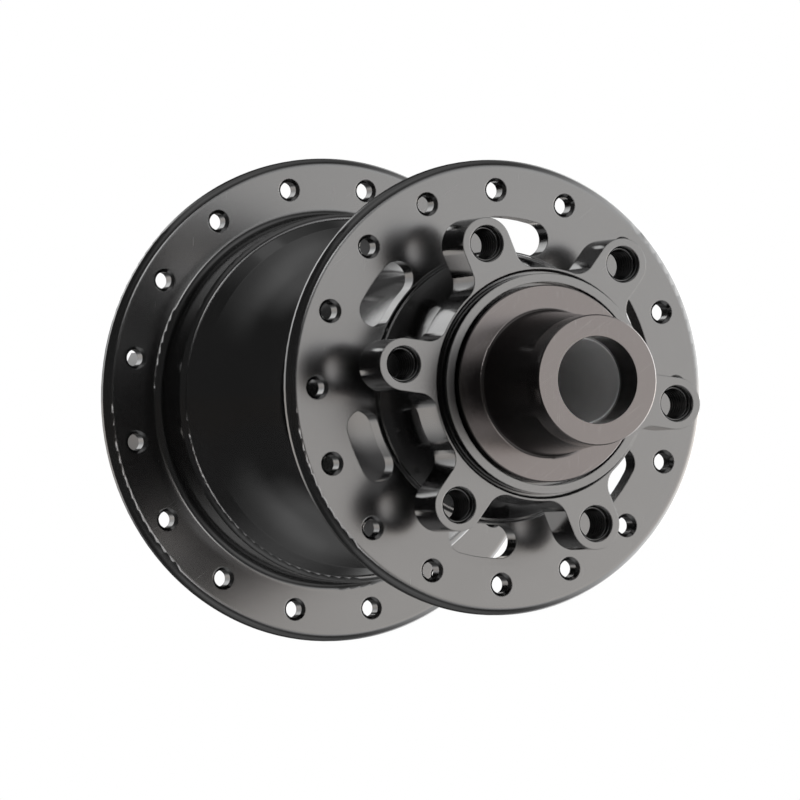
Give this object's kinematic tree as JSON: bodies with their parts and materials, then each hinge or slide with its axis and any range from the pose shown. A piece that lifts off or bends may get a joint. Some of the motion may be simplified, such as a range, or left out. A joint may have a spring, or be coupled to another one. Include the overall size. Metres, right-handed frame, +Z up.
{
  "type": "bicycle rear hub",
  "caption": "Rear wheel hub for a thru axle, with two drilled spoke flanges, a six-arm brake disc mount, and a splined freehub driven by pawls.",
  "frame": {"origin": "centre of the hub on its axis, midway between the two end faces", "axes": "+Y along the axle towards the brake disc's side, +Z up, +X in the direction of travel"},
  "size_m": [0.0748, 0.148, 0.0748],
  "materials": {
    "shell_black": "polished, black anodised",
    "cap_gunmetal": "satin, dark grey anodised",
    "axle_grey": "satin, turned",
    "freehub_grey": "satin, dark anodised",
    "bearing_steel": "ground and polished",
    "ratchet_steel": "hardened, ground",
    "spring_steel": "spring steel",
    "cage_nylon": "moulded",
    "seal_rubber": "moulded, matte"
  },
  "bodies": {
    "axle": {"axle": "axle_grey", "bearing_sleeve": "axle_grey", "freehub_spacer": "axle_grey", "disc_end_cap": "cap_gunmetal", "drive_end_cap": "cap_gunmetal", "disc_cap_o_ring": "seal_rubber", "drive_cap_o_ring": "seal_rubber", "disc_bearing_inner_race": "bearing_steel", "drive_bearing_inner_race": "bearing_steel", "freehub_inner_bearing_inner_race": "bearing_steel", "freehub_outer_bearing_inner_race": "bearing_steel"},
    "shell": {"hub_shell": "shell_black", "ratchet_ring": "ratchet_steel", "disc_bearing_outer_race": "bearing_steel", "disc_bearing_seals": "seal_rubber", "drive_bearing_outer_race": "bearing_steel", "drive_bearing_seals": "seal_rubber"},
    "freehub": {"freehub_body": "freehub_grey", "freehub_seal": "seal_rubber", "snap_ring": "spring_steel", "pawl_springs": "spring_steel", "freehub_inner_bearing_outer_race": "bearing_steel", "freehub_inner_bearing_seals": "seal_rubber", "freehub_outer_bearing_outer_race": "bearing_steel", "freehub_outer_bearing_seals": "seal_rubber"},
    "pawl_1": {"pawl_1": "ratchet_steel"},
    "pawl_2": {"pawl_2": "ratchet_steel"},
    "pawl_3": {"pawl_3": "ratchet_steel"},
    "pawl_4": {"pawl_4": "ratchet_steel"},
    "pawl_5": {"pawl_5": "ratchet_steel"},
    "pawl_6": {"pawl_6": "ratchet_steel"},
    "disc_bearing_ball_set": {"disc_bearing_balls": "bearing_steel", "disc_bearing_cage": "cage_nylon"},
    "drive_bearing_ball_set": {"drive_bearing_balls": "bearing_steel", "drive_bearing_cage": "cage_nylon"},
    "freehub_inner_bearing_ball_set": {"freehub_inner_bearing_balls": "bearing_steel", "freehub_inner_bearing_cage": "cage_nylon"},
    "freehub_outer_bearing_ball_set": {"freehub_outer_bearing_balls": "bearing_steel", "freehub_outer_bearing_cage": "cage_nylon"}
  },
  "joints": [
    {"name": "shell_spin", "type": "hinge", "parent": "axle", "child": "shell", "pos_m": [0, 0, 0], "axis": [0, 1, 0], "continuous": true},
    {"name": "freehub_spin", "type": "hinge", "parent": "axle", "child": "freehub", "pos_m": [0, 0, 0], "axis": [0, 1, 0], "continuous": true},
    {"name": "pawl_1_lift", "type": "hinge", "parent": "freehub", "child": "pawl_1", "pos_m": [0.01373, -0.021, 0.0064], "axis": [0, -1, 0], "range_deg": [0, 13.05], "stiffness_Nm_per_rad": 0.001, "springref_deg": 34.38},
    {"name": "pawl_2_lift", "type": "hinge", "parent": "freehub", "child": "pawl_2", "pos_m": [0.01241, -0.021, -0.00869], "axis": [0, -1, 0], "range_deg": [0, 13.05], "stiffness_Nm_per_rad": 0.001, "springref_deg": 34.38},
    {"name": "pawl_3_lift", "type": "hinge", "parent": "freehub", "child": "pawl_3", "pos_m": [-0.00132, -0.021, -0.01509], "axis": [0, -1, 0], "range_deg": [0, 13.05], "stiffness_Nm_per_rad": 0.001, "springref_deg": 34.38},
    {"name": "pawl_4_lift", "type": "hinge", "parent": "freehub", "child": "pawl_4", "pos_m": [-0.01373, -0.021, -0.0064], "axis": [0, -1, 0], "range_deg": [0, 13.05], "stiffness_Nm_per_rad": 0.001, "springref_deg": 34.38},
    {"name": "pawl_5_lift", "type": "hinge", "parent": "freehub", "child": "pawl_5", "pos_m": [-0.01241, -0.021, 0.00869], "axis": [0, -1, 0], "range_deg": [0, 13.05], "stiffness_Nm_per_rad": 0.001, "springref_deg": 34.38},
    {"name": "pawl_6_lift", "type": "hinge", "parent": "freehub", "child": "pawl_6", "pos_m": [0.00132, -0.021, 0.01509], "axis": [0, -1, 0], "range_deg": [0, 13.05], "stiffness_Nm_per_rad": 0.001, "springref_deg": 34.38},
    {"name": "disc_bearing_roll", "type": "hinge", "parent": "axle", "child": "disc_bearing_ball_set", "pos_m": [0, 0, 0], "axis": [0, 1, 0], "continuous": true},
    {"name": "drive_bearing_roll", "type": "hinge", "parent": "axle", "child": "drive_bearing_ball_set", "pos_m": [0, 0, 0], "axis": [0, 1, 0], "continuous": true},
    {"name": "freehub_inner_bearing_roll", "type": "hinge", "parent": "axle", "child": "freehub_inner_bearing_ball_set", "pos_m": [0, 0, 0], "axis": [0, 1, 0], "continuous": true},
    {"name": "freehub_outer_bearing_roll", "type": "hinge", "parent": "axle", "child": "freehub_outer_bearing_ball_set", "pos_m": [0, 0, 0], "axis": [0, 1, 0], "continuous": true}
  ],
  "couplings": [
    {"joint": "pawl_2_lift", "follows": "pawl_1_lift", "ratio": 1},
    {"joint": "pawl_3_lift", "follows": "pawl_1_lift", "ratio": 1},
    {"joint": "pawl_4_lift", "follows": "pawl_1_lift", "ratio": 1},
    {"joint": "pawl_5_lift", "follows": "pawl_1_lift", "ratio": 1},
    {"joint": "pawl_6_lift", "follows": "pawl_1_lift", "ratio": 1},
    {"joint": "disc_bearing_roll", "follows": "shell_spin", "ratio": 0.5814},
    {"joint": "drive_bearing_roll", "follows": "shell_spin", "ratio": 0.5814},
    {"joint": "freehub_inner_bearing_roll", "follows": "freehub_spin", "ratio": 0.5615},
    {"joint": "freehub_outer_bearing_roll", "follows": "freehub_spin", "ratio": 0.5814}
  ]
}
